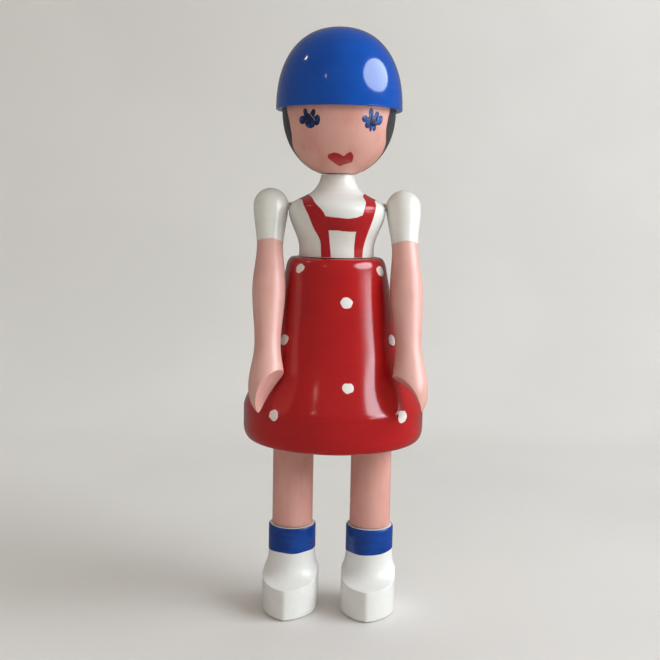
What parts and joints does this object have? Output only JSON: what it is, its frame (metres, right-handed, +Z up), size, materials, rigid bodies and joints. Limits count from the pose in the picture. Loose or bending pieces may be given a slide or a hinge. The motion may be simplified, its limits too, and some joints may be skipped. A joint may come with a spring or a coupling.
{
  "type": "jointed wooden doll",
  "caption": "Turned and painted wooden girl doll in a domed cap, bell skirt and carved clogs, with a turning head, swinging arms and swinging legs; stands on its flat soles.",
  "frame": {"origin": "on the ground under the turning axis of the cap, head, bodice and skirt, midway between the soles", "axes": "+Z up along the turning axis; the doll faces -Y; its own left side is at +X"},
  "size_m": [0.0654, 0.0654, 0.21],
  "materials": {
    "flesh_enamel": "satin flesh enamel on turned wood, grain showing through",
    "ivory_enamel": "semi-gloss ivory enamel on turned wood",
    "red_enamel": "gloss red enamel on turned wood",
    "blue_enamel": "gloss blue enamel on turned wood",
    "beech": "bare beech",
    "elastic_cord": "woven elastic cord",
    "steel_pin": "drawn steel rod"
  },
  "bodies": {
    "body": {"skirt": "red_enamel", "bodice": "ivory_enamel", "waist_dowel": "beech", "neck_dowel": "beech", "hip_block": "beech", "hip_pin": "steel_pin", "arm_elastic": "elastic_cord"},
    "head": {"head": "flesh_enamel", "cap": "blue_enamel"},
    "right_arm": {"right_arm": "flesh_enamel", "right_shoulder_plug": "ivory_enamel"},
    "left_arm": {"left_arm": "flesh_enamel", "left_shoulder_plug": "ivory_enamel"},
    "right_leg": {"right_leg": "flesh_enamel", "right_shoe": "ivory_enamel"},
    "left_leg": {"left_leg": "flesh_enamel", "left_shoe": "ivory_enamel"}
  },
  "joints": [
    {"name": "neck_turn", "type": "hinge", "parent": "body", "child": "head", "pos_m": [0, 0, 0.1593], "axis": [0, 0, 1], "continuous": true},
    {"name": "right_shoulder", "type": "hinge", "parent": "body", "child": "right_arm", "pos_m": [-0.0237, 0, 0.148], "axis": [-1, 0, 0], "range_deg": [0, 130]},
    {"name": "left_shoulder", "type": "hinge", "parent": "body", "child": "left_arm", "pos_m": [0.0237, 0, 0.148], "axis": [-1, 0, 0], "range_deg": [0, 130]},
    {"name": "right_hip", "type": "hinge", "parent": "body", "child": "right_leg", "pos_m": [-0.01435, 0, 0.075], "axis": [-1, 0, 0], "range_deg": [-45, 45]},
    {"name": "left_hip", "type": "hinge", "parent": "body", "child": "left_leg", "pos_m": [0.01435, 0, 0.075], "axis": [-1, 0, 0], "range_deg": [-45, 45]}
  ]
}
